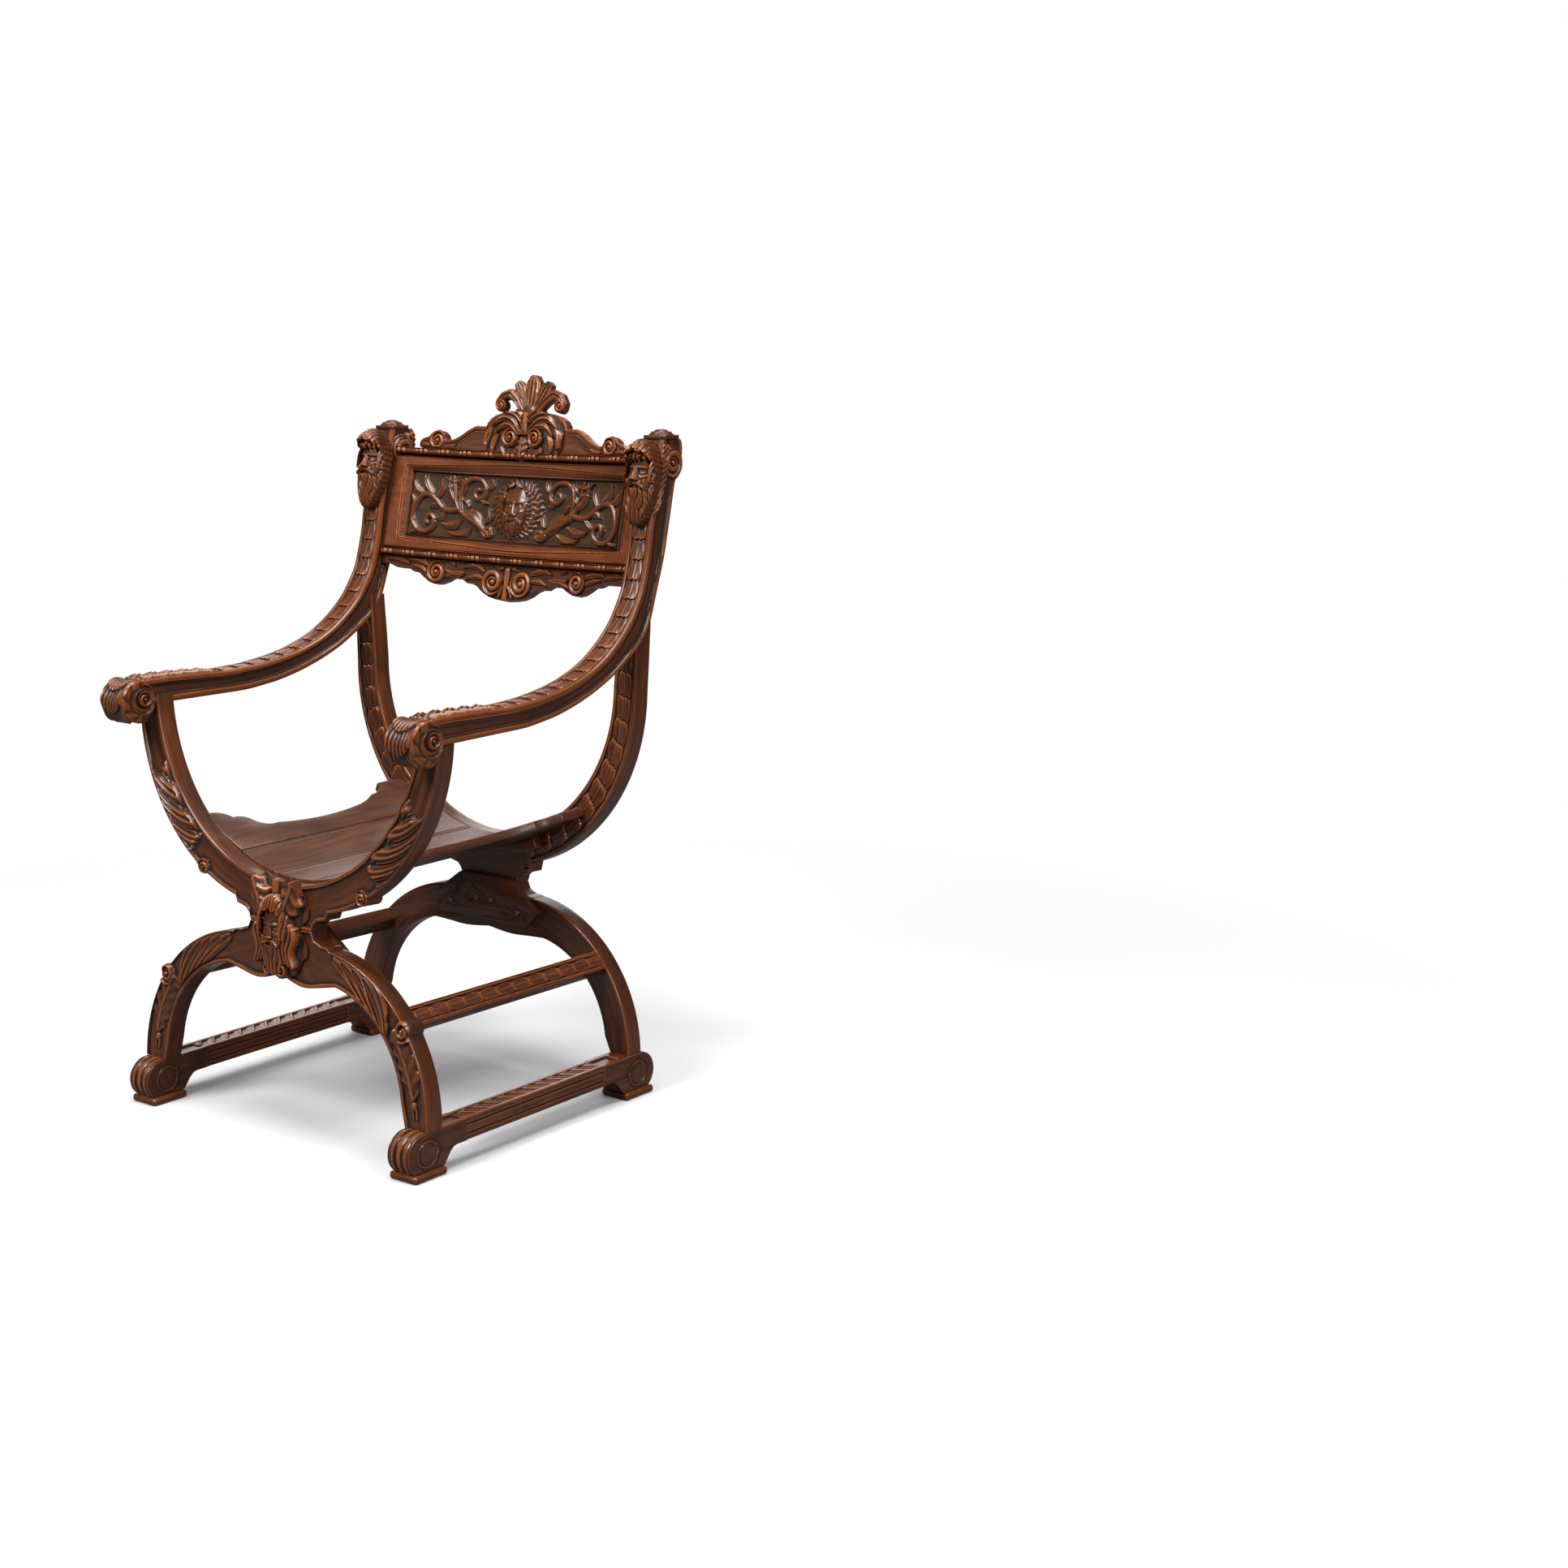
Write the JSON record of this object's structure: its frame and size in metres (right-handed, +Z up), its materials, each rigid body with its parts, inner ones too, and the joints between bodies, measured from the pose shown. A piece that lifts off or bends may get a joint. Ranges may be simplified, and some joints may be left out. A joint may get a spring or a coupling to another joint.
{
  "type": "savonarola armchair",
  "caption": "Carved walnut armchair on two X-shaped frames, with a dished board seat, scrolled arms that sweep up into posts, and a low carved back between them",
  "frame": {"origin": "on the floor, under the middle of the chair's bounding box", "axes": "+Z is up; the chair faces -Y; +X is the right side for someone who looks at the front"},
  "size_m": [0.628, 0.6047, 1.054],
  "materials": {
    "walnut_carved": "polished",
    "walnut_plain": "polished",
    "walnut_panel": "satin",
    "walnut_seat": "polished",
    "dowel_wood": "matte",
    "screw_iron": "satin"
  },
  "bodies": {
    "root": {"front_left_upper_limb": "walnut_carved", "front_right_upper_limb": "walnut_carved", "front_left_leg": "walnut_carved", "front_right_leg": "walnut_carved", "front_mask": "walnut_carved", "left_arm": "walnut_carved", "right_arm": "walnut_carved", "left_arm_head": "walnut_carved", "right_arm_head": "walnut_carved", "left_post_cap": "walnut_carved", "right_post_cap": "walnut_carved", "front_left_foot_block": "walnut_carved", "front_right_foot_block": "walnut_carved", "back_left_foot_block": "walnut_carved", "back_right_foot_block": "walnut_carved", "left_lower_stretcher": "walnut_carved", "right_lower_stretcher": "walnut_carved", "left_mid_stretcher": "walnut_carved", "right_mid_stretcher": "walnut_carved", "crest_rail": "walnut_carved", "crest_palmette": "walnut_carved", "crest_crown": "walnut_carved", "apron_rail": "walnut_carved", "bottom_bead_moulding": "walnut_carved", "top_bead_moulding": "walnut_carved", "back_left_upper_limb": "walnut_carved", "back_right_upper_limb": "walnut_carved", "back_boss": "walnut_carved", "back_left_leg": "walnut_plain", "back_right_leg": "walnut_plain", "front_brace_plate": "walnut_plain", "back_brace_plate": "walnut_plain", "back_board": "walnut_plain", "panel_rail_top": "walnut_plain", "panel_rail_bottom": "walnut_plain", "panel_stile_left": "walnut_plain", "panel_stile_right": "walnut_plain", "front_left_foot_pad": "walnut_plain", "front_right_foot_pad": "walnut_plain", "back_left_foot_pad": "walnut_plain", "back_right_foot_pad": "walnut_plain", "carved_panel": "walnut_panel", "seat_board_left": "walnut_seat", "seat_board_middle": "walnut_seat", "seat_board_right": "walnut_seat", "seat_wing_left": "walnut_seat", "seat_wing_right": "walnut_seat", "front_seat_cleat": "walnut_seat", "back_seat_cleat": "walnut_seat", "neck_dowels": "dowel_wood", "foot_dowels": "dowel_wood", "arm_dowels": "dowel_wood", "lower_stretcher_dowels": "dowel_wood", "left_mid_stretcher_dowels": "dowel_wood", "right_mid_stretcher_dowels": "dowel_wood", "brace_screws": "screw_iron"}
  },
  "joints": []
}
